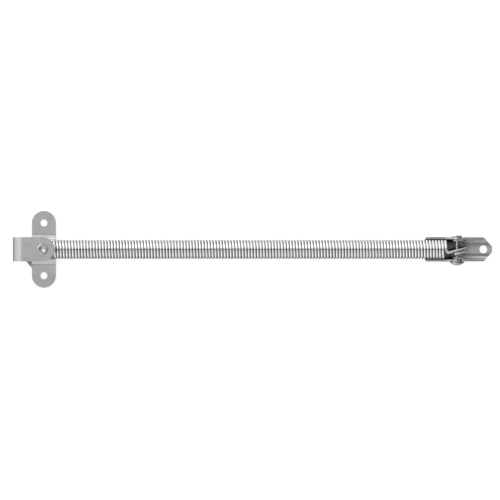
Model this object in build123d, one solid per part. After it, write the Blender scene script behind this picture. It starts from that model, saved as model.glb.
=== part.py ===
from build123d import *
import math
import os

# Hatch spring: a close-wound spring that props a hatch open and bends at its middle to let it shut.
# One end turns on a screwed base, the other ends in a bracket for the lid.
# Millimetres. +X runs along the spring to the lid end, +Y across it, +Z away from the mounting face.
# The origin is midway between the two base screws, on the mounting face.

# Spring. The real one has about 130 turns that touch. These are fewer and stand apart,
# and the wire is drawn four-sided, corner to corner at its real thickness, to keep the solid light.
wire_d = 1.5
wire_sides = 4
coil_od = 9.6
coil_turns = 60
pivot_spacing = 206.1
eye_wire_gap = 0.5
eye_bend_r = 1.63
eye_lap_deg = 50.0

# Base plate
base_w = 12.0
base_t = 1.0
base_hole_spacing = 26.4
base_hole_d = 3.55
bridge_flat_w = 10.7
bridge_foot_w = 15.0
bridge_bend_r = 0.5

# Strap folded over the spring's near end
strap_w = 12.1
strap_t = 1.0
strap_back = 14.95
strap_bend_r = 3.7
tongue_w = 9.6
shoulder_w = 3.1
shoulder_back = 8.7

# Base rivet, and the bush that turns on it
rivet_shank_r = 1.9
rivet_bore_r = 1.2
rivet_bore_depth = 7.0
rivet_head_r = 3.0
rivet_head_t = 0.8
rivet_roll_w = 1.4
rivet_roll_t = 0.95
rivet_roll_chamfer = 0.4
rivet_mouth_r = 1.75
rivet_mouth_depth = 0.5
bush_chamfer = 0.3

# Spring socket
socket_t = 1.0
socket_flat_w = 3.6
socket_back = 15.75
socket_mouth_top = -1.0
socket_mouth_cut = 0.9
socket_mouth_run = 0.7
socket_rise = 5.6
socket_ear = 2.6
socket_web_end = 1.9

# Cross rivet
pin_r = 0.875
pin_head_r = 3.55
pin_head_t = 1.85
pin_rim_t = 0.5
pin_roll_r = 2.6
pin_roll_t = 0.8
pin_roll_chamfer = 0.3
pin_dimple_r = 0.9

# Lid bracket, with lengths along X from the cross rivet
bracket_w = 12.0
bracket_t = 1.0
bracket_bend_r = 2.4
bracket_reach = 17.8
bracket_joggle = 0.5
bracket_hole_x = 13.45
bracket_hole_d = 3.95
bracket_wall_h = 3.4
nose_start = 13.6
nose_w = 2.9
lug_r = 2.2

# Clearances
slide_gap = 0.1
pin_gap = 0.05
coil_gap = 0.3
web_gap = 0.2
eye_side_gap = 0.25

# Heights and places that follow from the sizes above
coil_r = (coil_od - wire_d) / 2
bridge_rise = strap_t + rivet_head_t + slide_gap
bridge_top = bridge_rise + base_t
strap_bottom = bridge_rise - strap_t
axis_z = bridge_top + coil_gap + coil_od / 2
leg_under = axis_z + coil_od / 2 + coil_gap
leg_top = leg_under + strap_t
web_drop = coil_od / 2 + coil_gap
socket_w = coil_od + 2 * coil_gap + 2 * socket_t
socket_bend_r = coil_od / 2 + coil_gap - socket_flat_w / 2
lug_w = socket_w - 2 * socket_t - 2 * slide_gap
# The trough widens past the socket's ears, or past the rivet's heads where it doesn't fit between them
bracket_clears = socket_ear if socket_w - bracket_w > slide_gap else pin_head_r
bracket_wide_start = bracket_clears + slide_gap
eye_side = lug_w / 2 - bracket_t - eye_side_gap - wire_d / 2
# The coils end clear of the eye, and far enough out for the bend between them to clear the eye's lap
lap_clear = math.sqrt((wire_d + eye_wire_gap) ** 2 - min(eye_side - eye_bend_r, wire_d) ** 2)
bend_reach = eye_bend_r + math.sqrt(lap_clear * (2 * coil_r + lap_clear))
coil_start = max(coil_r + wire_d + slide_gap / 2, bend_reach)
pin = Pos(pivot_spacing, 0, axis_z)


def block(x, y, z):
    """Box between two values on each axis."""
    size = [high - low for low, high in (x, y, z)]
    middle = [(high + low) / 2 for low, high in (x, y, z)]
    return Pos(*middle) * Box(*size)


def plate(points, low, high):
    """Polygon in plan, pushed up from one level to another."""
    return extrude(Plane.XY.offset(low) * make_face(Polyline(*points, close=True)), high - low)


def sheet(points, bend_r, thickness):
    """Cross-section of a bent sheet: points are its skin on the inside of the first bend."""
    skin = FilletPolyline(*points, radius=bend_r)
    return make_face(offset(skin, amount=thickness, side=Side.RIGHT))


def channel(width, depth, bend_r, thickness):
    """Cross-section of a U: its web lies along X with its outside at Y = 0, its walls rise along Y."""
    fills = []
    for inset in (0, thickness):
        fill = Pos(0, (depth + inset) / 2) * Rectangle(width - 2 * inset, depth - inset)
        fills.append(fillet(fill.vertices().group_by(Axis.Y)[0], bend_r + thickness - inset))
    return fills[0] - fills[1]


def biarc(start, start_dir, end, end_dir):
    """Two arcs that leave start along start_dir and reach end along end_dir."""
    chord = end - start
    both = start_dir + end_dir
    turn = 2 * (1 - start_dir.dot(end_dir))
    ahead = chord.dot(both)
    reach = (math.sqrt(ahead**2 + turn * chord.dot(chord)) - ahead) / turn
    joint = (start + end) * 0.5 + (start_dir - end_dir) * (reach / 2)
    first = (joint - start).normalized()
    joint_dir = first * (2 * first.dot(start_dir)) - start_dir
    return [TangentArc(start, joint, tangent=start_dir), TangentArc(joint, end, tangent=joint_dir)]


def eye_stations():
    """Points and directions of the lid end's eye, from the last coil to the wire's cut end.

    The wire leaves the coil in front, bends forward over the pin, circles it, and laps
    itself beside the first pass. The pin's centre is the origin. The lap runs next to the
    bracket's wall, and the table counts how many wire steps the rest stands off from it.
    """
    step = wire_d + eye_wire_gap
    lap = 360 + eye_lap_deg
    shift_by_angle = ((0, 1.25), (90, 2), (180, 1.15), (270, 0.05), (360, 0), (lap, 0.35))
    circle = []
    for n, (angle, shift) in enumerate(shift_by_angle):
        before = shift_by_angle[max(n - 1, 0)]
        after = shift_by_angle[min(n + 1, len(shift_by_angle) - 1)]
        run = math.radians(after[0] - before[0]) * coil_r
        slope = (after[1] - before[1]) * step / run
        a = math.radians(angle)
        point = Vector(coil_r * math.sin(a), shift * step - eye_side, coil_r * math.cos(a))
        circle.append((point, Vector(math.cos(a), slope, -math.sin(a)).normalized()))
    bend_centre = Vector(eye_bend_r - coil_start, 0, coil_r)
    reach = circle[0][0] - bend_centre
    climb = math.atan2(reach.Y, reach.X) + math.asin(eye_bend_r / reach.length)
    bent = bend_centre + Vector(math.sin(climb), -math.cos(climb), 0) * eye_bend_r
    return [(bent, Vector(math.cos(climb), math.sin(climb), 0))] + circle


def spring_path():
    """Centreline of the whole wire: near eye, coils, far eye. The coils are right-handed."""
    body = pivot_spacing - 2 * coil_start
    advance = body / (2 * math.pi * (coil_turns + 0.25))

    def coil(angle):
        point = Vector(coil_start + advance * angle, coil_r * math.cos(angle), coil_r * math.sin(angle))
        return point, Vector(advance, -coil_r * math.sin(angle), coil_r * math.cos(angle)).normalized()

    far = [(point + Vector(pivot_spacing, 0, 0), way) for point, way in eye_stations()]
    # A half turn about the line Y = Z carries the far eye onto the near one, at a right angle to it
    near = [(Vector(-p.X, p.Z, p.Y), Vector(w.X, -w.Z, -w.Y)) for p, w in reversed(eye_stations())]
    coils = [coil(half * math.pi) for half in range(2 * coil_turns + 1)]
    stations = near + coils + [coil(2 * math.pi * (coil_turns + 0.25))] + far

    edges = [Line(stations[0][0] - stations[0][1] * wire_d, stations[0][0])]
    for (start, start_dir), (end, end_dir) in zip(stations, stations[1:]):
        edges += biarc(start, start_dir, end, end_dir)
    edges.append(Line(stations[-1][0], stations[-1][0] + stations[-1][1] * wire_d))
    return edges


def least_gap(edges):
    """Least gap between two stretches of the wire that lie more than a half coil apart along it."""
    spots = []
    along = 0
    for edge in edges:
        count = max(2, round(edge.length / 0.8))
        for n in range(count):
            spots.append((edge @ (n / count), along + edge.length * n / count))
        along += edge.length
    spots.sort(key=lambda spot: spot[0].X)
    least = coil_od
    for n, (here, s) in enumerate(spots):
        for there, t in spots[n + 1 :]:
            if there.X - here.X > least:
                break
            if abs(s - t) > math.pi * coil_r:
                least = min(least, (there - here).length)
    return least - wire_d


def hatch_spring():
    """One wire: two eyes at right angles and the coils between them."""
    edges = spring_path()
    path = Wire(edges)
    section = Plane(origin=path @ 0, z_dir=path % 0) * RegularPolygon(wire_d / 2, wire_sides)
    print("wire length", round(path.length, 1), "least gap to itself", round(least_gap(edges), 3))
    wire = sweep(section, path=path, clean=False)
    print("volume over section times length", round(wire.volume / (section.area * path.length), 4))
    return Pos(0, 0, axis_z) * wire


def base_plate():
    """Strip with round ends, two screw holes and a bridge across its middle."""
    slope = math.atan2(bridge_rise, (bridge_foot_w - bridge_flat_w) / 2)
    shift = base_t * math.tan(slope / 2)
    tip = (base_hole_spacing + base_w) / 2 + base_w
    foot = bridge_foot_w / 2 - shift
    flat = bridge_flat_w / 2 - shift
    under = [(tip, 0), (foot, 0), (flat, bridge_rise), (-flat, bridge_rise), (-foot, 0), (-tip, 0)]
    strip = extrude(Plane.YZ * sheet(under, bridge_bend_r, base_t), base_w / 2, both=True)
    outline = SlotCenterToCenter(base_hole_spacing, base_w, rotation=90)
    result = strip & extrude(outline, 2 * bridge_top, both=True)
    for y in (-base_hole_spacing / 2, base_hole_spacing / 2):
        result -= Pos(0, y, 0) * Cylinder(base_hole_d / 2, 4 * base_t)
    return result - Pos(0, 0, bridge_top) * Cylinder(rivet_shank_r + pin_gap, 4 * base_t)


def base_strap():
    """U of strip: front leg over the spring's end, rear leg necked to pass under the bridge."""
    middle = (strap_bottom + leg_top) / 2
    edge = -base_w / 2 - slide_gap
    half = strap_w / 2
    profile = channel(leg_top - strap_bottom, strap_back + strap_w, strap_bend_r, strap_t)
    side = Plane(origin=(-strap_back, 0, middle), x_dir=(0, 0, 1), z_dir=(0, 1, 0))
    result = extrude(side * profile, strap_w, both=True)

    front = block((-2 * strap_back, 0), (-half, half), (middle, 2 * leg_top))
    front += Pos(0, 0, leg_top) * Cylinder(half, leg_top)
    tongue = block((2 * edge, 0), (-tongue_w / 2, tongue_w / 2), (0, middle))
    tongue += Pos(0, 0, middle / 2) * Cylinder(tongue_w / 2, middle)
    result &= front + tongue + block((-2 * strap_back, edge), (-half, half), (0, middle))

    shoulder = [
        (-shoulder_back, -half),
        (edge, -half - shoulder_w),
        (edge, -half + strap_t),
        (-shoulder_back, -half + strap_t),
    ]
    result += plate(shoulder, strap_bottom, strap_bottom + strap_t)
    return result - Pos(0, 0, middle) * Cylinder(rivet_shank_r + pin_gap, 4 * middle)


def base_rivet():
    """Tubular rivet: flat hidden head, shank, and a rolled end in front."""
    rolled = Pos(rivet_shank_r, leg_top + rivet_roll_t / 2) * Rectangle(rivet_roll_w, rivet_roll_t)
    rolled = chamfer(rolled.vertices().group_by(Axis.Y)[-1].sort_by(Axis.X)[-1], rivet_roll_chamfer)
    head_bottom = strap_bottom - rivet_head_t
    half = Pos(rivet_head_r / 2, strap_bottom - rivet_head_t / 2) * Rectangle(rivet_head_r, rivet_head_t)
    half += Pos(rivet_shank_r / 2, (head_bottom + leg_top) / 2) * Rectangle(
        rivet_shank_r, leg_top - head_bottom
    )
    half += rolled
    top = leg_top + rivet_roll_t
    half -= Pos(rivet_bore_r / 2, top - rivet_bore_depth / 2) * Rectangle(rivet_bore_r, rivet_bore_depth)
    mouth = [(0, top), (rivet_mouth_r, top), (rivet_bore_r, top - rivet_mouth_depth), (0, leg_top)]
    half -= make_face(Polyline(*mouth, close=True))
    return revolve(Plane.XZ * half, Axis.Z)


def eye_bush():
    """Tube on the base rivet that keeps the strap's legs apart and fills the spring's eye."""
    low = bridge_top + slide_gap
    high = leg_under - slide_gap
    outer = coil_r - wire_d / 2 - coil_gap
    tube = Pos(0, 0, (low + high) / 2) * Cylinder(outer, high - low)
    rims = tube.edges().filter_by(GeomType.CIRCLE)
    tube = chamfer(rims, bush_chamfer)
    return tube - Pos(0, 0, (low + high) / 2) * Cylinder(rivet_shank_r + pin_gap, 2 * high)


def spring_socket():
    """Channel round the last coils, with a tapered mouth and two ears for the cross rivet."""
    bottom = -web_drop - socket_t
    profile = Pos(0, bottom) * channel(socket_w, 2 * web_drop, socket_bend_r, socket_t)
    result = extrude(Plane.YZ.offset(-socket_back) * profile, 2 * socket_back)

    middle = (bottom + socket_mouth_top) / 2
    height = socket_mouth_top - bottom
    foot = Pos((socket_web_end - socket_rise) / 2, middle)
    foot *= Rectangle(socket_web_end + socket_rise, height)
    side = make_hull((Circle(socket_ear) + foot).edges())
    side += Pos(-(socket_rise + socket_back) / 2, middle) * Rectangle(socket_back - socket_rise, height)
    result &= extrude(Plane.XZ * side, socket_w, both=True)

    half = socket_w / 2
    taper = [
        (-socket_back - socket_mouth_run, half - 2 * socket_mouth_cut),
        (-socket_back + 2 * socket_mouth_run, half + socket_mouth_cut),
        (-socket_back - socket_mouth_run, half + socket_mouth_cut),
    ]
    taper = extrude(make_face(Polyline(*taper, close=True)), 2 * web_drop, both=True)
    result -= taper
    result -= taper.mirror(Plane.XZ)
    result -= Rot(90, 0, 0) * Cylinder(pin_r + pin_gap, 2 * socket_w)
    return pin * result


def cross_rivet():
    """Rivet across the socket's ears: domed head at -Y, clinched end with a dimple at +Y."""
    half = socket_w / 2
    rise = pin_head_t - pin_rim_t
    dome_r = (pin_head_r**2 + rise**2) / (2 * rise)
    dome = Pos(0, dome_r - half - pin_head_t) * Circle(dome_r)
    dome &= Pos(pin_head_r / 2, -half - pin_head_t / 2) * Rectangle(pin_head_r, pin_head_t)
    shank = Pos(pin_r / 2, 0) * Rectangle(pin_r, socket_w)
    clinch = Pos(pin_roll_r / 2, half + pin_roll_t / 2) * Rectangle(pin_roll_r, pin_roll_t)
    clinch = chamfer(clinch.vertices().group_by(Axis.X)[-1], pin_roll_chamfer)
    clinch -= Pos(0, half + pin_roll_t) * Circle(pin_dimple_r)
    return pin * revolve(dome + shank + clinch, Axis.Y)


def lid_bracket():
    """Folded trough: lugs between the socket's ears, a wider screwed part and a pointed nose."""
    bottom = -web_drop - bracket_t
    wide_end = bracket_wide_start + bracket_joggle
    depth = 2 * lug_r - bottom
    narrow = Pos(0, bottom) * channel(lug_w, depth, bracket_bend_r, bracket_t)
    wide = Pos(0, bottom) * channel(bracket_w, depth, bracket_bend_r, bracket_t)
    trough = extrude(Plane.YZ.offset(-2 * lug_r) * narrow, bracket_wide_start + 2 * lug_r)
    trough += loft(
        [Plane.YZ.offset(bracket_wide_start) * narrow, Plane.YZ.offset(wide_end) * wide], ruled=True
    )
    trough += extrude(Plane.YZ.offset(wide_end) * wide, bracket_reach - wide_end)

    wall_top = bottom + bracket_wall_h
    side = [
        (0, lug_r),
        (bracket_wide_start, lug_r),
        (nose_start, wall_top),
        (2 * bracket_reach, wall_top),
        (2 * bracket_reach, bottom),
        (socket_web_end + web_gap, bottom),
        (socket_ear + web_gap, -lug_r),
        (0, -lug_r),
    ]
    side = make_face(Polyline(*side, close=True)) + Circle(lug_r)
    trough &= extrude(Plane.XZ * side, bracket_w, both=True)

    run = bracket_reach - nose_start
    drop = (bracket_w - nose_w) / 2
    corner = [
        (nose_start - run, bracket_w / 2 + drop),
        (bracket_reach + run, nose_w / 2 - drop),
        (bracket_reach + run, bracket_w / 2 + drop),
    ]
    corner = extrude(make_face(Polyline(*corner, close=True)), 2 * bracket_w, both=True)
    trough -= corner
    trough -= corner.mirror(Plane.XZ)
    trough -= Pos(bracket_hole_x, 0, bottom) * Cylinder(bracket_hole_d / 2, 4 * bracket_t)
    trough -= Rot(90, 0, 0) * Cylinder(pin_r + pin_gap, 2 * bracket_w)
    return pin * trough


pieces = {
    "base_plate": base_plate(),
    "base_strap": base_strap(),
    "base_rivet": base_rivet(),
    "eye_bush": eye_bush(),
    "hatch_spring": hatch_spring(),
    "spring_socket": spring_socket(),
    "cross_rivet": cross_rivet(),
    "lid_bracket": lid_bracket(),
}
os.makedirs("parts", exist_ok=True)
for name, piece in pieces.items():
    export_step(piece, f"parts/{name}.step")
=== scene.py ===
# %% [markdown]
# # A hatch spring, dressed for its picture
#
# A hatch spring props a lid or a hatch open. A steel wire is wound into a long tube whose turns
# touch. It stands stiff while it is straight, and it folds at its middle when the hatch is shut.
#
# The metal parts of this scene come from a CAD model that is already packed: a base plate, a folded
# strap, two rivets, a bush, a socket and a lid bracket. This lesson gives them their finishes, softens
# their edges, and winds the real wire, which is far too fine for the CAD model.

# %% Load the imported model
import math

import bmesh
import bpy
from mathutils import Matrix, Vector


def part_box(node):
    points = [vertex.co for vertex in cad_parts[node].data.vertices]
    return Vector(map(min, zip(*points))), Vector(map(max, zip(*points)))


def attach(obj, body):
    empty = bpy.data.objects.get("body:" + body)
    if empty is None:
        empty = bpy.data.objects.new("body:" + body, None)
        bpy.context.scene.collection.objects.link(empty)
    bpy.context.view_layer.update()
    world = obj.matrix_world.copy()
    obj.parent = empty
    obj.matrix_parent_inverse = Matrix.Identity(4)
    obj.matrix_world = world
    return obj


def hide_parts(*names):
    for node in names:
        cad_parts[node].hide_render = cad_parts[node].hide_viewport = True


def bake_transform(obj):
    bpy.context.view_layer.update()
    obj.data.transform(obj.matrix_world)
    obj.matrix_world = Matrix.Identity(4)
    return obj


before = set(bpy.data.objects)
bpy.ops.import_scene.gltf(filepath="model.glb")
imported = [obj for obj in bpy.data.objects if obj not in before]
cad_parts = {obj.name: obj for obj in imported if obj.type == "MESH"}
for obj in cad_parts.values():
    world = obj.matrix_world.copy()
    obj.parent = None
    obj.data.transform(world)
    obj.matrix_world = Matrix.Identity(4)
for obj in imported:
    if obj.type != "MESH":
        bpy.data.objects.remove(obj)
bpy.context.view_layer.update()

for name in sorted(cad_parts):
    low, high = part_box(name)
    print(name, "mm from", [round(v * 1000, 1) for v in low], "to", [round(v * 1000, 1) for v in high])

# %% [markdown]
# ## Millimetres
#
# Blender counts in metres here, and a spring maker counts in millimetres. One constant turns the one
# into the other, so that every size below can be read off the real object. Two sizes place most of
# it. The base rivet stands at zero and the cross rivet 206.1 mm to its right, and the coils' middle
# line runs 8 mm above the face that is screwed down.

# %% One millimetre
MM = 0.001
PIVOT_SPACING = 206.1
AXIS_HEIGHT = 8.0
print("between the pivots:", PIVOT_SPACING, "mm")

# %% [markdown]
# ## The camera
#
# The photograph looks straight down on the spring, from so far away that the strap in front hardly
# covers more than it would in a drawing. A camera without any perspective would come close. A long
# lens at about 1.9 metres keeps the little that a real picture has. 250 mm of the object's plane
# fill the picture from side to side, and the picture's middle lies just below the spring's. Nothing
# that is drawn lies over 20 metres away, so the camera looks no farther.

# %% Camera
CAMERA_DISTANCE = 1.9
CAMERA_Y = -0.35
FRAME_WIDTH = 250
SENSOR_WIDTH = 36
FARTHEST = 20

camera_data = bpy.data.cameras.new("camera")
camera_data.sensor_width = SENSOR_WIDTH
camera_data.lens = SENSOR_WIDTH * CAMERA_DISTANCE / (FRAME_WIDTH * MM)
camera_data.clip_end = FARTHEST
camera = bpy.data.objects.new("camera", camera_data)
camera.location = (PIVOT_SPACING / 2 * MM, CAMERA_Y * MM, CAMERA_DISTANCE)
bpy.context.scene.collection.objects.link(camera)
bpy.context.scene.camera = camera
print("lens", round(camera_data.lens), "mm")

# %% [markdown]
# ## Writing materials
#
# Each finish is a small node tree. `add` puts one node in, with its settings and its links, so a tree
# reads like a list of what the surface is made of. Colours are written as a paint shop would name
# them, as sRGB hex values, and `linear` turns them into the numbers that light is counted in.

# %% Two helpers for materials
def linear(hex_colour):
    """sRGB hex string as linear red, green, blue and alpha."""
    parts = [int(hex_colour[n : n + 2], 16) / 255 for n in (0, 2, 4)]
    return tuple(p / 12.92 if p <= 0.04045 else ((p + 0.055) / 1.055) ** 2.4 for p in parts) + (1.0,)


def add(tree, kind, settings=(), links=()):
    """One node, with its settings, its fixed sockets and what feeds the others."""
    node = tree.nodes.new(kind)
    for key, value in dict(settings).items():
        if isinstance(key, str) and hasattr(node, key):
            setattr(node, key, value)
        else:
            node.inputs[key].default_value = value
    for key, source in dict(links).items():
        tree.links.new(source, node.inputs[key])
    return node


print("mid grey is", [round(c, 3) for c in linear("808080")])

# %% [markdown]
# ## Reading a table
#
# The light and the metal both change along a line in ways that no simple pattern has, so each is
# written as a short table of places and values. A curve node can hold such a table. It works from
# 0 to 1 only, so the places are squeezed into that, and the values are made four times smaller on
# the way in and larger again on the way out.

# %% A table as nodes
TABLE_TOP = 4.0


def from_table(tree, source, rows):
    """Value for the source from a table of (place from -1 to 1, value up to TABLE_TOP).

    The value goes in a straight line from each row to the next.
    """
    along = add(tree, "ShaderNodeMapRange", {"From Min": -1.0, "From Max": 1.0}, {"Value": source})
    curve = add(tree, "ShaderNodeFloatCurve", {}, {"Value": along.outputs["Result"]})
    points = curve.mapping.curves[0].points
    # The curve begins with a point at each end, so only the rows between them need new ones.
    for _ in rows[1:-1]:
        points.new(0.5, 0.5)
    for point, (place, value) in zip(points, rows):
        point.location = (place / 2 + 0.5, value / TABLE_TOP)
        point.handle_type = "VECTOR"
    curve.mapping.update()
    quarter = curve.outputs["Value"]
    whole = add(tree, "ShaderNodeMath", {"operation": "MULTIPLY", 1: TABLE_TOP}, {0: quarter})
    return whole.outputs["Value"]


print("a table's values go up to", TABLE_TOP)

# %% [markdown]
# ## Light
#
# Bright metal shows its surroundings more than itself, so the surroundings are the picture. The coils
# tell what stood round them: their far half is bright, their near half is a third dimmer, and a thin
# dark line runs between the two. So there were two white panels, the brighter one beyond the spring,
# with a dark gap for the camera overhead, from left to right. The folded end of the strap is bright
# too, and it leans to the left, so the left side was the lighter one.
#
# Lamps with soft boxes would do it, but each would need its own size, place and power. Wide panels of
# paper have no edges that the metal could show, so they are drawn as a sky instead. Three short tables
# say how bright it is, from left to right, from near to far and from low to high, and each direction
# gets the product of its three values. Low down it is dim, which keeps the coils' flanks dark.

# %% How bright the surroundings are
DARK_GAP = 0.05
LEFT_TO_RIGHT = (
    (-1, 2.3),
    (-0.8, 2.0),
    (-0.6, 2.2),
    (-0.35, 2.5),
    (-0.1, 1.05),
    (0.1, 0.85),
    (0.3, 0.8),
    (1, 0.6),
)
NEAR_TO_FAR = (
    (-1, 1.3),
    (-0.85, 1.05),
    (-0.5, 0.92),
    (-0.15, 0.8),
    (-DARK_GAP, 0.2),
    (DARK_GAP, 0.2),
    (0.16, 1.4),
    (0.45, 1.7),
    (0.8, 1.8),
    (0.92, 1.25),
    (1, 0.6),
)
LOW_TO_HIGH = (
    (-1, 0.45),
    (-0.5, 0.65),
    (-0.2, 0.9),
    (0.3, 0.95),
    (1, 1.0),
)
gap = round(2 * math.degrees(math.asin(DARK_GAP)))
print("the gap overhead is", gap, "degrees wide at its darkest")

# %% [markdown]
# The direction that a ray of light comes from has three parts, each from -1 to 1. Each part looks up
# its own table. The Standard view shows light as it is: the film-like default would turn the bright
# strokes on the coils grey.

# %% The sky between two panels
def panel_sky(left_to_right, near_to_far, low_to_high):
    """White surroundings whose brightness is the product of one factor for each axis."""
    world = bpy.data.worlds.new("panels")
    world.use_nodes = True
    tree = world.node_tree
    tree.nodes.clear()
    out = add(tree, "ShaderNodeOutputWorld")
    sky = add(tree, "ShaderNodeBackground")
    tree.links.new(sky.outputs["Background"], out.inputs["Surface"])
    way = add(tree, "ShaderNodeTexCoord")
    parts = add(tree, "ShaderNodeSeparateXYZ", {}, {"Vector": way.outputs["Generated"]})
    across = from_table(tree, parts.outputs["X"], left_to_right)
    away = from_table(tree, parts.outputs["Y"], near_to_far)
    up = from_table(tree, parts.outputs["Z"], low_to_high)
    level = add(tree, "ShaderNodeMath", {"operation": "MULTIPLY"}, {0: across, 1: away})
    level = add(tree, "ShaderNodeMath", {"operation": "MULTIPLY"}, {0: level.outputs["Value"], 1: up})
    tree.links.new(level.outputs["Value"], sky.inputs["Strength"])
    return world


bpy.context.scene.world = panel_sky(LEFT_TO_RIGHT, NEAR_TO_FAR, LOW_TO_HIGH)
bpy.context.scene.view_settings.view_transform = "Standard"
print("the sky is made of", len(bpy.context.scene.world.node_tree.nodes), "nodes")

# %% [markdown]
# ## Bare metal to start from
#
# Everything here is plated steel, so each finish starts as one metal shader. A scanned picture of
# metal could give a finish in one stroke, but it would bring its own light and scale along. With
# nodes, each fault of the real surface gets its real size.
#
# The first fault is uneven gloss: no worked metal is equally smooth all over. So the roughness
# follows a noise pattern. Nearly all of a noise texture's values lie between 0.3 and 0.7, and
# `uneven_gloss` spreads that stretch over two roughnesses.

# %% Metal with uneven gloss
NOISE_LOW = 0.3
NOISE_HIGH = 0.7


def new_material(name, settings):
    """A material with one shader, its node tree, and that shader."""
    material = bpy.data.materials.new(name)
    material.use_nodes = True
    tree = material.node_tree
    tree.nodes.clear()
    out = add(tree, "ShaderNodeOutputMaterial")
    shader = add(tree, "ShaderNodeBsdfPrincipled", settings)
    tree.links.new(shader.outputs["BSDF"], out.inputs["Surface"])
    return material, tree, shader


def uneven_gloss(tree, metal, pattern, smoothest, roughest):
    """Roughness that goes from smoothest to roughest with a noise pattern."""
    gloss = add(
        tree,
        "ShaderNodeMapRange",
        {"From Min": NOISE_LOW, "From Max": NOISE_HIGH, "To Min": smoothest, "To Max": roughest},
        {"Value": pattern},
    )
    tree.links.new(gloss.outputs["Result"], metal.inputs["Roughness"])


print("noise is read from", NOISE_LOW, "to", NOISE_HIGH)

# %% [markdown]
# ## Painted shade in corners
#
# Deep corners and the places where parts stand close get little light, so the metal there looks
# dark. That shade is painted into the colour. Such places could be painted on by hand; the function
# below finds them instead: it looks round from each point of the surface, and it is low where other
# metal stands close by. It takes how far to look, how open a place is that counts as clear, and how
# open one that counts as closed. `shade` makes the darker colour that is painted there.

# %% Deep corners
RAYS = 8


def painted_shade(tree, reach, clear, closed):
    """Painted shade factor: 1 in the open, down to 0 where metal closer than reach, in mm, hides most of
    the sky.
    """
    look = add(tree, "ShaderNodeAmbientOcclusion", {"samples": RAYS, "Distance": reach * MM})
    sky = look.outputs["AO"]
    depth = add(tree, "ShaderNodeMapRange", {"From Min": closed, "From Max": clear}, {"Value": sky})
    return depth.outputs["Result"]


def shade(hex_colour, factor):
    """A hex colour in linear numbers, as much darker as the factor says."""
    return [c * factor for c in linear(hex_colour)[:3]] + [1]


print("each point looks round along", RAYS, "rays")

# %% [markdown]
# ## Painted bands of light and shade
#
# Beside a bend, or where two pieces meet, light and shade fall on the metal in narrow bands that run
# along it: a bright band and a dark line. They are painted into the colour as highlights and shade,
# with a table of brightness across the piece. The grain of the metal makes them waver by up to
# 0.4 mm.

# %% Painted bands
WAVER = 0.4
FADE = 0.5


def painted_bands(tree, surface, place, grain, rows, start=None, before=1.0):
    """The surface's colour times a table's value for the place across the piece, in mm: painted
    highlights and shade.

    The rows run from as far below the middle as above it. A start keeps the marks off the part of the
    piece nearer than that, which takes the value before.
    """
    parts = add(tree, "ShaderNodeSeparateXYZ", {}, {"Vector": place})
    swing = {"operation": "MULTIPLY_ADD", 1: 2 * WAVER * MM, 2: -WAVER * MM}
    unsteady = add(tree, "ShaderNodeMath", swing, {0: grain}).outputs["Value"]
    across = add(tree, "ShaderNodeMath", {"operation": "ADD"}, {0: parts.outputs["Y"], 1: unsteady})
    half = rows[-1][0]
    shrink = {"operation": "DIVIDE", 1: half * MM}
    scaled = add(tree, "ShaderNodeMath", shrink, {0: across.outputs["Value"]}).outputs["Value"]
    factor = from_table(tree, scaled, [(y / half, value) for y, value in rows])
    if start is not None:
        onset = add(
            tree,
            "ShaderNodeMapRange",
            {"From Min": (start - FADE) * MM, "From Max": (start + FADE) * MM, "To Min": before},
            {"Value": parts.outputs["X"], "To Max": factor},
        )
        factor = onset.outputs["Result"]
    product = add(tree, "ShaderNodeVectorMath", {"operation": "SCALE"}, {0: surface, 3: factor})
    return product.outputs["Vector"]


print("marks waver by", WAVER, "mm and fade in over", 2 * FADE, "mm")

# %% [markdown]
# ## Bright zinc plate on rolled strip
#
# The base plate, the strap, the socket and the bracket are stamped from cold-rolled steel strip and
# then zinc plated. Zinc is blue-white. Rolling leaves fine lines along the strip, tumbling in the
# plating barrel leaves faint clouds, and the plating itself is a little rough. The lines on real
# strip are about 0.05 mm apart; here they are drawn 0.35 mm apart, because finer ones wouldn't show.
#
# A noise texture whose space is squeezed across the strip gives the lines, and the same lines change
# the gloss and the bump. Satin zinc has a roughness of about 0.35, and each piece was matched from
# there. In the Mix node, sockets 6 and 7 are its two colours and output 2 their mixture.

# %% Zinc-plated strip
GRAIN_LENGTH = 12
GRAIN_SPACING = 0.35
GRAIN_DEPTH = 0.01
CLOUD_SIZE = 4
CLOUD_SHADE = 0.94


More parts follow.
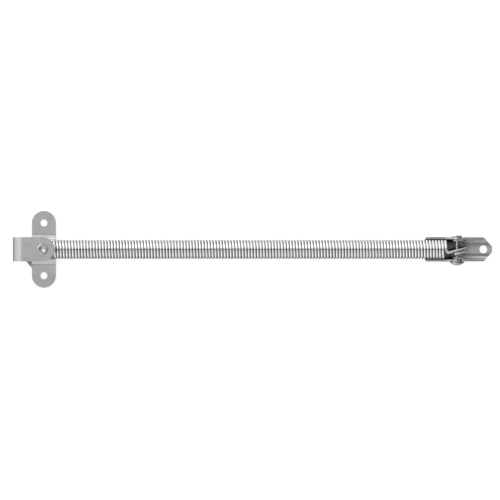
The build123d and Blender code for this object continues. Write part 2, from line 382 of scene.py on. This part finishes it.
def zinc_strip(name, colour, grain_along, roughness=0.34, shade_factor=0.15, corners=(7, 0.62, 0.2), bands=None):
    """Rolled and plated strip: grain_along is the axis of rolling, corners and dull set its painted
    shade.
    """
    material, tree, metal = new_material(name, {"Metallic": 1.0})
    place = add(tree, "ShaderNodeTexCoord").outputs["Object"]
    stretch = [1 / (GRAIN_SPACING * MM)] * 3
    stretch[grain_along] = 1 / (GRAIN_LENGTH * MM)
    drawn = add(tree, "ShaderNodeMapping", {"Scale": stretch}, {"Vector": place}).outputs["Vector"]
    lines = {"Scale": 1.0, "Detail": 3.0}
    grain = add(tree, "ShaderNodeTexNoise", lines, {"Vector": drawn}).outputs["Fac"]
    clouds = {"Scale": 1 / (CLOUD_SIZE * MM), "Detail": 2.0}
    cloud = add(tree, "ShaderNodeTexNoise", clouds, {"Vector": place}).outputs["Fac"]
    tone = add(tree, "ShaderNodeValToRGB", {}, {"Fac": cloud})
    tone.color_ramp.elements[0].position = NOISE_LOW
    tone.color_ramp.elements[0].color = shade(colour, CLOUD_SHADE)
    tone.color_ramp.elements[1].position = NOISE_HIGH
    tone.color_ramp.elements[1].color = linear(colour)
    # Painted shade: the colour darkens towards other metal, in corners and between parts.
    shaded = add(
        tree,
        "ShaderNodeMix",
        {"data_type": "RGBA", 6: shade(colour, shade_factor)},
        {"Factor": painted_shade(tree, *corners), 7: tone.outputs["Color"]},
    )
    surface = shaded.outputs[2]
    # Painted bands of highlight and shade, for the pieces that have them.
    if bands:
        surface = painted_bands(tree, surface, place, grain, **bands)
    tree.links.new(surface, metal.inputs["Base Color"])
    uneven_gloss(tree, metal, grain, roughness - 0.05, roughness + 0.05)
    relief = {"Strength": 0.25, "Distance": GRAIN_DEPTH * MM}
    bump = add(tree, "ShaderNodeBump", relief, {"Height": grain})
    tree.links.new(bump.outputs["Normal"], metal.inputs["Normal"])
    return material


print("rolling lines are", GRAIN_LENGTH, "mm long and", GRAIN_SPACING, "mm apart")

# %% [markdown]
# ## The four stampings
#
# The base plate is rolled along its length, which is the Y axis. A die pushes its middle up into a
# bridge. Bands of painted highlight brighten it beside the bridge's bends on both sides, 6 to 10 mm
# from the middle. The strap is folded from strip of the same finish, rolled along X. It has no such
# bands, only painted shade beside other metal.

# %% Base plate and strap
# Painted highlight and shade: mm across the plate from its middle, and a factor on the colour.
PLATE_PAINTED_BANDS = (
    (-13, 1.0),
    (-10.6, 1.18),
    (-9.1, 1.3),
    (-8.1, 1.6),
    (-7.6, 1.1),
    (-7.1, 1.0),
    (5.4, 1.0),
    (5.9, 1.5),
    (6.5, 1.5),
    (7.0, 1.15),
    (7.5, 0.85),
    (8.0, 1.2),
    (9.4, 1.07),
    (13, 1.0),
)
# Pale satin zinc: lines up and down, and two painted bright bands across, beside the bridge's bends.
plate_zinc = zinc_strip("zinc_plated_base", "C0C1C2", grain_along=1, bands={"rows": PLATE_PAINTED_BANDS})
# The same zinc with its lines from left to right, with soft painted shade towards the coils.
strap_zinc = zinc_strip("zinc_plated_strap", "C0C1C2", grain_along=0, corners=(14, 0.75, 0.3))
print("made", plate_zinc.name, "and", strap_zinc.name)

# %% [markdown]
# The socket is a small channel, open towards the viewer, and the coils fill it. The bracket is a
# folded trough. Its two bends run along it, 3 to 5 mm from its middle, and each has a painted
# highlight on its outer side and a painted shade line on its inner one. These bands begin just past
# the cross rivet, and the metal before them is evenly darkened as painted shade.

# %% Socket and bracket
# Painted highlight and shade: mm across the bracket from its middle, and a factor on the colour.
BRACKET_PAINTED_BANDS = (
    (-6, 1.1),
    (-5.6, 1.2),
    (-5.1, 1.6),
    (-4.6, 2.0),
    (-4.1, 1.6),
    (-3.6, 0.7),
    (-3.1, 0.4),
    (-2.6, 0.4),
    (-2.1, 0.9),
    (-1.5, 1.0),
    (0, 1.05),
    (1.2, 0.88),
    (2.2, 0.7),
    (2.6, 0.62),
    (3.4, 0.8),
    (4.1, 1.2),
    (4.9, 1.8),
    (5.4, 1.3),
    (6, 1.0),
)
BANDS_PAST_RIVET = 2.9
# Slightly greyer zinc; its painted shade keeps the inner walls light enough to show the coils' flanks.
socket_zinc = zinc_strip(
    "zinc_plated_socket", "B9BABB", grain_along=0, shade_factor=0.35, corners=(12, 0.75, 0.35)
)
# The greyest and least glossy of the four, so that its painted bands of light and shade stand out.
bracket_zinc = zinc_strip(
    "zinc_plated_bracket",
    "B0B1B2",
    grain_along=0,
    roughness=0.42,
    shade_factor=0.2,
    corners=(6, 0.5, 0.15),
    bands={"rows": BRACKET_PAINTED_BANDS, "start": PIVOT_SPACING + BANDS_PAST_RIVET, "before": 0.7},
)
print("made", socket_zinc.name, "and", bracket_zinc.name)

# %% [markdown]
# ## Rivets
#
# Rivets are cold-headed from wire, so they have no rolling lines. Knocking about in the plating barrel
# leaves small dents, which break up the gloss. It is zinc plate again. The same noise pattern makes
# both the dents and the uneven gloss, since a dent is also a scuff.

# %% Zinc-plated rivet
DENT_SIZE = 0.8
DENT_DEPTH = 0.02
SKIN_SHADE = 0.9


def zinc_rivet(name, colour, roughness=0.28, bands=None):
    """Headed and plated steel, with the small dents of barrel plating."""
    material, tree, metal = new_material(name, {"Metallic": 1.0, "Base Color": linear(colour)})
    place = add(tree, "ShaderNodeTexCoord").outputs["Object"]
    knocks = {"Scale": 1 / (DENT_SIZE * MM), "Detail": 3.0}
    dents = add(tree, "ShaderNodeTexNoise", knocks, {"Vector": place}).outputs["Fac"]
    uneven_gloss(tree, metal, dents, roughness - 0.06, roughness + 0.08)
    relief = {"Strength": 0.3, "Distance": DENT_DEPTH * MM}
    bump = add(tree, "ShaderNodeBump", relief, {"Height": dents})
    tree.links.new(bump.outputs["Normal"], metal.inputs["Normal"])
    # Painted bands of highlight and shade, for the rivets that have them.
    if bands:
        skin = add(tree, "ShaderNodeValToRGB", {}, {"Fac": dents})
        skin.color_ramp.elements[0].color = shade(colour, SKIN_SHADE)
        skin.color_ramp.elements[1].color = linear(colour)
        banded = painted_bands(tree, skin.outputs["Color"], place, dents, bands)
        tree.links.new(banded, metal.inputs["Base Color"])
    return material


print("dents are", DENT_SIZE, "mm across")

# %% [markdown]
# The base rivet is plain. The cross rivet lies along the Y axis and has painted bands along its
# length: painted shade where each end meets the socket, 6 to 7 mm from the middle, and painted
# highlights on its ends.

# %% Base rivet and cross rivet
# Painted highlight and shade: mm along the rivet from its middle, and a factor on the colour.
CROSS_RIVET_PAINTED_BANDS = (
    (-8, 1.3),
    (-7.1, 1.25),
    (-6.8, 0.75),
    (-6.6, 0.5),
    (-6.35, 0.6),
    (-6.1, 1.0),
    (5.6, 1.0),
    (5.9, 0.5),
    (6.15, 0.55),
    (6.45, 1.4),
    (8, 1.5),
)
# Grey zinc with a soft gloss, for the rolled ring of the base rivet.
rivet_zinc = zinc_rivet("zinc_plated_rivet", "B2B3B4", roughness=0.34)
# Lighter and glossier zinc, which seams of painted shade cut off from the socket.
cross_zinc = zinc_rivet("zinc_plated_cross_rivet", "BFC0C1", bands=CROSS_RIVET_PAINTED_BANDS)
print("made", rivet_zinc.name, "and", cross_zinc.name)

# %% [markdown]
# ## Spring wire
#
# Spring wire is drawn hard through a die, which leaves it round and smooth, and then it is bright
# plated. It is the shiniest thing here: each turn shows the two panels as two bright strokes, with
# the dark gap between them. The grooves between the turns get little light, so shade is painted in
# there, and it looks 40 mm round, far past the next turn, so that the socket's walls count too.

# %% Plated spring wire
GROOVE_REACH = 40
WEAR_SIZE = 2.5


def plated_wire(name, colour, roughness=0.2, shade_factor=0.45, clear=0.85, closed=0.28):
    """Drawn and plated wire: dull, clear and closed set the painted shade in its grooves."""
    material, tree, metal = new_material(name, {"Metallic": 1.0})
    # Painted shade: the colour darkens in the grooves between turns and beside other metal.
    groove_shade = add(
        tree,
        "ShaderNodeMix",
        {"data_type": "RGBA", 6: shade(colour, shade_factor), 7: linear(colour)},
        {"Factor": painted_shade(tree, GROOVE_REACH, clear, closed)},
    )
    tree.links.new(groove_shade.outputs[2], metal.inputs["Base Color"])
    place = add(tree, "ShaderNodeTexCoord").outputs["Object"]
    rubbing = {"Scale": 1 / (WEAR_SIZE * MM), "Detail": 3.0}
    wear = add(tree, "ShaderNodeTexNoise", rubbing, {"Vector": place}).outputs["Fac"]
    uneven_gloss(tree, metal, wear, roughness - 0.05, roughness + 0.07)
    return material


print("wear spots are", WEAR_SIZE, "mm across")

# %% [markdown]
# One wire has three finishes. The coils and the near eye are bright. The lid end's eye is greyer and
# less glossy, with painted shade where it meets other metal. The part of it that comes up inside the
# socket lies in shade, and that shade is painted on as a dark grey finish.

# %% Three finishes of one wire
# Bright plate over smooth wire: almost a mirror, with soft dark grooves.
wire_plate = plated_wire("bright_plated_spring_wire", "D2D3D4")
# Greyer plate, with wider and softer highlights, and painted shade, nearly black, where it meets other
# metal.
eye_plate = plated_wire(
    "dull_plated_spring_eye", "B2B3B4", roughness=0.3, shade_factor=0.12, clear=0.75, closed=0.5
)
# Painted shade for the part inside the socket: dark grey, with hardly a highlight.
inner_plate = plated_wire("painted_shade_spring_eye", "3C3C3D", roughness=0.4, shade_factor=0.3)
print("made", wire_plate.name, eye_plate.name, inner_plate.name)

# %% [markdown]
# ## Dressing the CAD pieces
#
# The stampings keep their CAD meshes. Stamping and tumbling round every edge by about a tenth of a
# millimetre, and that thin bright line along an edge is what makes metal look like metal. A bevel
# modifier adds it without changing the mesh underneath. The table gives each piece its finish and the
# width of its rounded edges in millimetres. Only corners sharper than 40 degrees are edges: the rest
# are facets of something round.

# %% Finishes and softened edges
EDGE_ANGLE = 40
FINISH = {
    "base_plate": (plate_zinc, 0.14),
    "base_strap": (strap_zinc, 0.3),
    "base_rivet": (rivet_zinc, 0.06),
    "eye_bush": (rivet_zinc, 0.0),
    "spring_socket": (socket_zinc, 0.1),
    "cross_rivet": (cross_zinc, 0.06),
    "lid_bracket": (bracket_zinc, 0.12),
    "hatch_spring": (wire_plate, 0.0),
}
for node, (finish, edge) in FINISH.items():
    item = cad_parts[node]
    item.data.materials.clear()
    item.data.materials.append(finish)
    if edge:
        soft = item.modifiers.new("stamped_edge", "BEVEL")
        soft.width = edge * MM
        soft.segments = 3
        soft.limit_method = "ANGLE"
        soft.angle_limit = math.radians(EDGE_ANGLE)
        soft.harden_normals = True
    print(node, "gets", finish.name)

# %% [markdown]
# ## The hollow of the base rivet
#
# A tubular rivet is drawn with a hollow end, which the rolling tool spreads into the ring that shows.
# Light falls on its dished floor, not far below the rim. A Boolean cut or a sculpted dent would change
# the rivet's CAD mesh, so the floor is a small lathe shape of its own, turned from a few points of
# its profile, and it sits in the rivet's bore.

# %% A lathe
SHARP_ANGLE = 50


def turned(name, profile, steps=64):
    """Closed shape turned about the Z axis from (radius, height) points in millimetres."""
    shape = bmesh.new()
    rings = []
    for radius, height in profile:
        ring = []
        for n in range(steps if radius else 1):
            angle = 2 * math.pi * n / steps
            x = radius * MM * math.cos(angle)
            y = radius * MM * math.sin(angle)
            ring.append(shape.verts.new((x, y, height * MM)))
        rings.append([ring[n % len(ring)] for n in range(steps + 1)])
    for one, two in zip(rings, rings[1:]):
        for n in range(steps):
            # At the middle two corners of the face are the same point, and it becomes a triangle.
            corners = dict.fromkeys((one[n], one[n + 1], two[n + 1], two[n]))
            shape.faces.new(list(corners))
    bmesh.ops.recalc_face_normals(shape, faces=shape.faces)
    mesh = bpy.data.meshes.new(name)
    shape.to_mesh(mesh)
    shape.free()
    mesh.shade_smooth()
    mesh.set_sharp_from_angle(angle=math.radians(SHARP_ANGLE))
    piece = bpy.data.objects.new(name, mesh)
    bpy.context.scene.collection.objects.link(piece)
    return piece


print("the lathe keeps edges over", SHARP_ANGLE, "degrees sharp")

# %% [markdown]
# The floor's upper side is a shallow dish, half a millimetre deep, whose rim lies half a millimetre
# below the rivet's top. Its underside is flat. It rides on the base and is finished as the rivet is.

# %% The floor of the hollow
HOLLOW_R = 1.22
HOLLOW_BELOW_TOP = 0.5
HOLLOW_DEPTH = 0.5
FLOOR_THICKNESS = 0.3
DISH_STEPS = 8

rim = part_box("base_rivet")[1][2] / MM - HOLLOW_BELOW_TOP
profile = []
for n in range(DISH_STEPS + 1):
    outward = n / DISH_STEPS
    profile.append((HOLLOW_R * outward, rim - HOLLOW_DEPTH * (1 - outward**2)))
underside = rim - HOLLOW_DEPTH - FLOOR_THICKNESS
profile += [(HOLLOW_R, underside), (0, underside)]
hollow = turned("rivet_hollow", profile)
hollow.data.materials.append(rivet_zinc)
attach(hollow, "base")
print("the hollow's floor is", round(rim - HOLLOW_DEPTH, 2), "mm above the mounting face")

# %% [markdown]
# ## Winding the spring
#
# The real spring is one wire: an eye that turns on the base rivet, some 130 turns that touch each
# other, and an eye round the cross rivet, at a right angle to the first. The CAD model has fewer turns
# that stand apart. Here the true wire is wound as a list of points along its middle: a helix, a short
# bend into the plane of each eye, and a little more than one turn round each pivot.
#
# The wire is 1.5 mm thick, so a pitch a hair over that lets the turns touch without cutting into each
# other. Its middle runs 4.05 mm from the coils' axis, and the coils begin 5.6 mm from each pivot.
# Each turn has 28 points, which look round at this distance.

# %% The coils
WIRE = 1.5
COIL_R = 4.05
COIL_START = 5.6
TURNS = 129.25
STEPS = 28


def coil_points():
    """Middle of the wire along the coils, from the near eye's bend to the far eye's."""
    length = PIVOT_SPACING - 2 * COIL_START
    count = round(TURNS * STEPS)
    points = []
    for n in range(count + 1):
        angle = 2 * math.pi * TURNS * n / count
        along = COIL_START + length * n / count
        points.append((along, COIL_R * math.cos(angle), COIL_R * math.sin(angle)))
    return points


coils = coil_points()
print("turns", TURNS, "at a pitch of", round((PIVOT_SPACING - 2 * COIL_START) / TURNS, 3), "mm")

# %% [markdown]
# ## The eyes
#
# An eye is worked out once, for the lid end, round a pivot at the origin. The wire comes up over the
# front of the coil, bends forward, circles the pin, and laps itself side by side before it is cut.
# How far it strays sideways is set at a few angles round the pin, in degrees and millimetres, and a
# smooth curve joins them: a cubic between each two rows, whose slopes come from the rows next to them.

# %% How the wire strays
STRAY = (
    (-40, -1.1),
    (0, -0.6),
    (45, 0.4),
    (90, 1.2),
    (180, 0.2),
    (255, -0.9),
    (300, -1.7),
    (330, -2.45),
    (360, -2.15),
    (412, -1.1),
)


def smooth(table, x):
    """Value at x of the smooth curve through the table's rows."""
    last = len(table) - 3
    span = next((n for n in range(1, last) if x <= table[n + 1][0]), last)
    (x0, y0), (x1, y1), (x2, y2), (x3, y3) = table[span - 1 : span + 3]
    if x > x2:
        # The last row has none after it to take a slope from, so the way there is straight.
        return y2 + (y3 - y2) * (x - x2) / (x3 - x2)
    t = (x - x1) / (x2 - x1)
    slope_1 = (y2 - y0) / (x2 - x0) * (x2 - x1)
    slope_2 = (y3 - y1) / (x3 - x1) * (x2 - x1)
    places = (2 * t**3 - 3 * t**2 + 1) * y1 + (3 * t**2 - 2 * t**3) * y2
    slopes = (t**3 - 2 * t**2 + t) * slope_1 + (t**3 - t**2) * slope_2
    return places + slopes


print("a quarter of the way round, the eye strays by", round(smooth(STRAY, 90), 2), "mm")

# %% [markdown]
# The bend has a point every 11 degrees, and the turn round the pin one every 8. A hand tool pulls
# the eye a little longer than round on the side away from the coils. The near eye is the same one
# run backwards, turned about to face the base and tipped over by a right angle.

# %% Both eyes and the whole wire
BEND_R = 1.63
BEND_POINTS = 9
BEND_STEP = 11
EYE_POINTS = 52
EYE_STEP = 8
REACH = 1.22


def eye_points():
    """Middle of the wire round the lid end's pin, from the bend to the cut end."""
    points = []
    for n in range(1, BEND_POINTS + 1):
        turn = math.radians(180 + BEND_STEP * n)
        along = -COIL_START + BEND_R + BEND_R * math.cos(turn)
        points.append((along, BEND_R * math.sin(turn), COIL_R))
    for n in range(EYE_POINTS):
        round_pin = math.radians(EYE_STEP * n)
        outward = COIL_R * math.sin(round_pin)
        if outward > 0:
            outward *= REACH
        points.append((outward, smooth(STRAY, EYE_STEP * n), COIL_R * math.cos(round_pin)))
    return points


eye = eye_points()
far_eye = [(PIVOT_SPACING + x, y, z) for x, y, z in eye]
near_eye = [(-x, z, y) for x, y, z in reversed(eye)]
axis = Vector((0, 0, AXIS_HEIGHT * MM))
wire_line = [Vector(point) * MM + axis for point in near_eye + coils + far_eye]
wire_length = sum((b - a).length for a, b in zip(wire_line, wire_line[1:]))
print("points", len(wire_line), "length of wire", round(wire_length, 2), "m")

# %% [markdown]
# ## From line to wire
#
# A curve with a round bevel turns that line into wire. It could stay a curve, but it has to bend with
# the joint at the spring's middle, and for that its own points have to move. So it is made into a
# mesh at once.

# %% The wire as a mesh
def wire_mesh(name, line, diameter):
    """Round wire along a line of points, with closed ends, as a mesh object."""
    curve = bpy.data.curves.new(name + "_line", "CURVE")
    curve.dimensions = "3D"
    curve.bevel_depth = diameter / 2
    curve.bevel_resolution = 3
    curve.use_fill_caps = True
    strand = curve.splines.new("POLY")
    # A new strand already has its first point.
    strand.points.add(len(line) - 1)
    for point, place in zip(strand.points, line):
        point.co = (*place, 1)
    helper = bpy.data.objects.new(name + "_helper", curve)
    mesh = bpy.data.meshes.new_from_object(helper)
    mesh.name = name
    bpy.data.objects.remove(helper)
    mesh.shade_smooth()
    piece = bpy.data.objects.new(name, mesh)
    bpy.context.scene.collection.objects.link(piece)
    return piece


spring = wire_mesh("wound_spring", wire_line, WIRE * MM)
print("faces in the wire", len(spring.data.polygons))

# %% [markdown]
# The three wire finishes follow one another along the same wire. The mesh has its corners in rings,
# one ring for each point of the line, so a face's lowest corner number tells how far along it lies.
# The stretch with painted shade is given in degrees round the pin, as the eye is.

# %% Finishes along the wire
SHADED_FROM = 248
SHADED_TO = 352

wire_finishes = [wire_plate, eye_plate, inner_plate]
for finish in wire_finishes:
    spring.data.materials.append(finish)
ring = len(spring.data.vertices) // len(wire_line)
for face in spring.data.polygons:
    into_eye = min(face.vertices) // ring - len(near_eye) - len(coils)
    if into_eye >= 0:
        round_pin = EYE_STEP * (into_eye - BEND_POINTS)
        # Faces in that stretch get the dark grey finish of painted shade.
        in_shade = SHADED_FROM <= round_pin <= SHADED_TO
        face.material_index = wire_finishes.index(inner_plate if in_shade else eye_plate)
print("corners round the wire", ring)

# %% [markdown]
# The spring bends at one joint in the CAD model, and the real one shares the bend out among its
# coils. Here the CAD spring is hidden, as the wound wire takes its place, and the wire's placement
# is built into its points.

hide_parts("hatch_spring")
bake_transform(spring)

# %% [markdown]
# ## The floor
#
# A plain pale sheet lies under the base plate. It is no part of the object. Small metal things are
# often shot on a sheet that is lit from below, which takes their shadows away, so this one glows a
# little. The metal doesn't mirror it: it would fill the dark undersides of the coils with light.

# %% Floor
FLOOR_SIZE = 6
FLOOR_GAP = 0.05


def floor_sheet(size):
    """Square sheet just under the mounting face, its side in metres."""
    mesh = bpy.data.meshes.new("floor")
    shape = bmesh.new()
    bmesh.ops.create_grid(shape, x_segments=1, y_segments=1, size=size / 2)
    shape.to_mesh(mesh)
    shape.free()
    item = bpy.data.objects.new("floor", mesh)
    item.location = (PIVOT_SPACING / 2 * MM, 0, -FLOOR_GAP * MM)
    item.visible_glossy = False
    bpy.context.scene.collection.objects.link(item)
    return item


floor = floor_sheet(FLOOR_SIZE)
# Matt white paper with a glow of its own: it comes out even and almost white, with no hard shadow.
glow = {
    "Base Color": linear("9A9A9A"),
    "Roughness": 0.9,
    "Emission Color": linear("FFFFFF"),
    "Emission Strength": 0.8,
}
paper = new_material("white_paper", glow)[0]
floor.data.materials.append(paper)
print("floor at", round(floor.location.z * 1000, 2), "mm")
